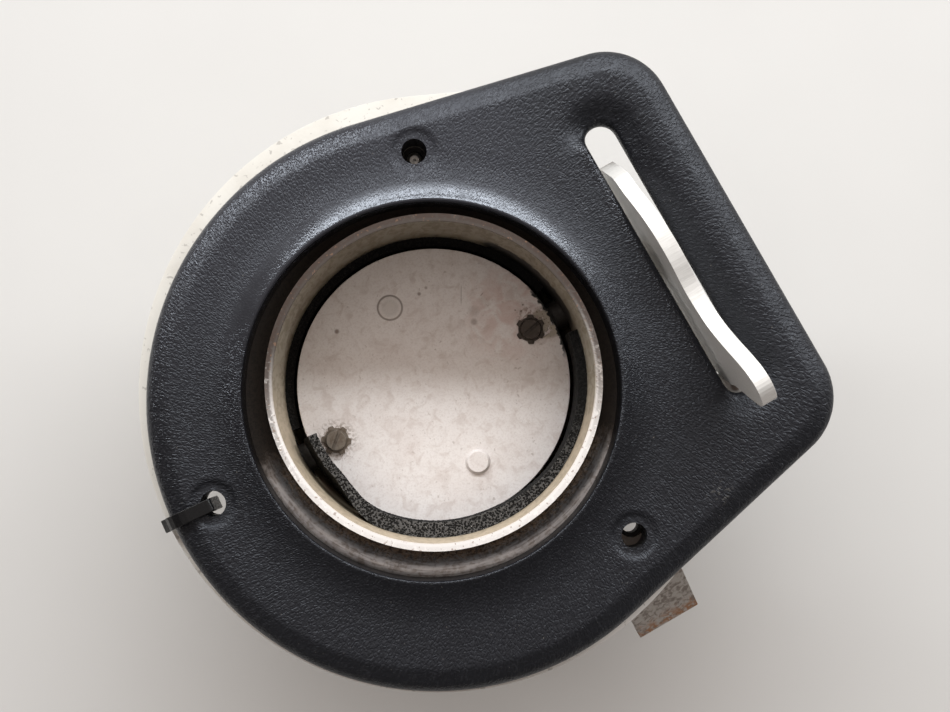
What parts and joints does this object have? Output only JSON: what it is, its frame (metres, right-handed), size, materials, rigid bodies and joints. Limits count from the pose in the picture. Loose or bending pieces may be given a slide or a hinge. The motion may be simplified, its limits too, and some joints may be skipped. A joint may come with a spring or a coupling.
{
  "type": "cabin air vent",
  "caption": "Round duct outlet with a butterfly disc turned by a thumb lever, behind a leather-grained moulded bezel on a flat mounting plate.",
  "frame": {"origin": "centre of the duct's rear end", "axes": "+Z along the duct out of the face, +X along the shaft towards the lever, +Y away from the side clip"},
  "size_m": [0.1321, 0.1266, 0.0767],
  "materials": {
    "bezel": "satin black with a moulded leather grain",
    "plate": "aged cream paint",
    "duct": "worn and stained",
    "rivets": "dull",
    "foam": "open foam, dusty",
    "disc": "matt, lightly stained",
    "strap": "dull",
    "dark_steel": "browned",
    "steel": "plated",
    "bronze": "sintered bronze",
    "lever": "bare, cross brushed edge",
    "rusty_steel": "rusted at its edge",
    "tie": "black nylon"
  },
  "bodies": {
    "housing": {"bezel": "bezel", "mounting_plate": "plate", "duct_collar": "duct", "collar_rivets": "rivets", "front_seal_strip": "foam", "rear_seal_strip": "foam", "inner_bush": "bronze", "outer_bush": "bronze", "nutplates": "steel", "nutplate_rivets": "rivets", "screw_stub": "steel", "side_bracket": "rusty_steel", "side_bracket_rivets": "rivets", "cable_tie": "tie"},
    "damper": {"damper_disc": "disc", "disc_strap": "strap", "disc_rivets": "rivets", "disc_screws": "dark_steel", "disc_star_washers": "dark_steel", "damper_shaft": "steel", "shaft_end_washer": "steel", "shaft_clip": "steel", "spring_washer": "steel", "lever_spacer": "rivets", "lever": "lever", "lever_washer": "steel", "lever_nut": "steel"}
  },
  "joints": [
    {"name": "lever_turn", "type": "hinge", "parent": "housing", "child": "damper", "pos_m": [0, 0, 0.02983], "axis": [1, 0, 0], "range_deg": [-70, 0]}
  ]
}
